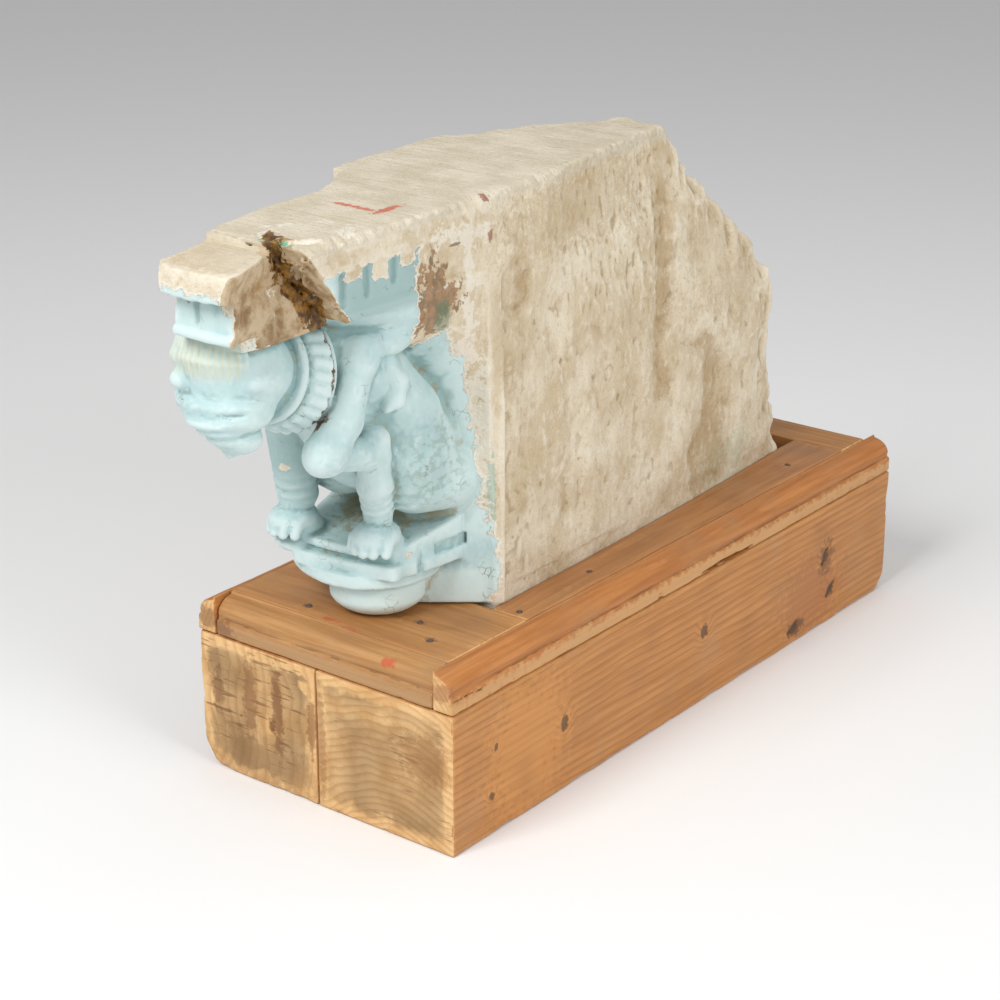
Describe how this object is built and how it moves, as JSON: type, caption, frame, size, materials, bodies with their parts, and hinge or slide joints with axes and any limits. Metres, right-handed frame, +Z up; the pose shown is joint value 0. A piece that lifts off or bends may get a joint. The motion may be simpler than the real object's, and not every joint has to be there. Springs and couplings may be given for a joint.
{
  "type": "stone corbel",
  "caption": "Carved and painted stone bracket with a crouching lion under a broken cornice, its rough tail standing in a fitted timber base.",
  "frame": {"origin": "centre of the base's underside", "axes": "+Z up, -Y the way the carving faces, +X towards the object's own left as it faces the viewer"},
  "size_m": [0.278, 0.856, 0.513],
  "materials": {
    "timber": "old hardwood, waxed, orange brown, end grain paler",
    "moulding": "old hardwood moulding, worn pale",
    "nails": "rusted iron nail heads",
    "stone": "rough cream sandstone, the carving under worn light blue gloss paint"
  },
  "bodies": {
    "root": {"left_beam": "timber", "right_beam": "timber", "front_board": "timber", "back_rail": "timber", "left_rail": "timber", "right_rail": "timber", "front_moulding": "moulding", "back_moulding": "moulding", "left_moulding": "moulding", "right_moulding": "moulding", "frame_nails": "nails", "stone_corbel": "stone"}
  },
  "joints": []
}
